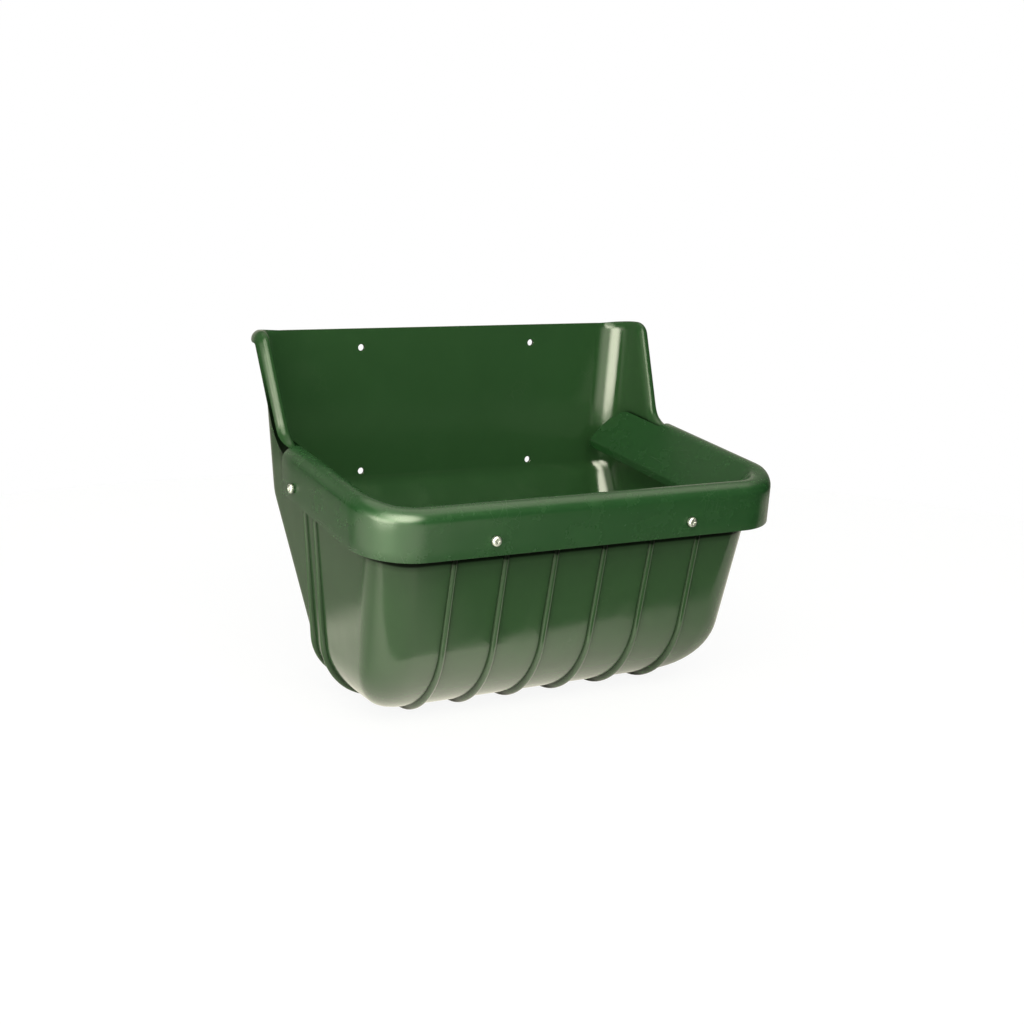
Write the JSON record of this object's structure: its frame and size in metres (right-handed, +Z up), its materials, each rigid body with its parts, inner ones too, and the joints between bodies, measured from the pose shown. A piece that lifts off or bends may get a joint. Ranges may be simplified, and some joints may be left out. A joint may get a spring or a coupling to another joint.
{
  "type": "feed trough",
  "caption": "Wall-hung feed trough: a deep moulded bowl with back panel and wings, and a rounded guard rim screwed over its rolled lip.",
  "frame": {"origin": "Centre of the four wall holes, on the back face of the panel, which lies against the wall", "axes": "+X to the right seen from the front, +Y into the wall, +Z up"},
  "size_m": [0.594, 0.4186, 0.4647],
  "materials": {
    "trough_body": "satin moulded polyethylene, dark green",
    "guard_rim": "satin moulded polyethylene, dark green",
    "screw_front_left": "zinc plated",
    "washer_front_left": "zinc plated",
    "nut_front_left": "zinc plated",
    "screw_front_right": "zinc plated",
    "washer_front_right": "zinc plated",
    "nut_front_right": "zinc plated",
    "screw_left": "zinc plated",
    "washer_left": "zinc plated",
    "nut_left": "zinc plated",
    "screw_right": "zinc plated",
    "washer_right": "zinc plated",
    "nut_right": "zinc plated"
  },
  "bodies": {
    "root": {"trough_body": "trough_body", "guard_rim": "guard_rim", "screw_front_left": "screw_front_left", "washer_front_left": "washer_front_left", "nut_front_left": "nut_front_left", "screw_front_right": "screw_front_right", "washer_front_right": "washer_front_right", "nut_front_right": "nut_front_right", "screw_left": "screw_left", "washer_left": "washer_left", "nut_left": "nut_left", "screw_right": "screw_right", "washer_right": "washer_right", "nut_right": "nut_right"}
  },
  "joints": []
}
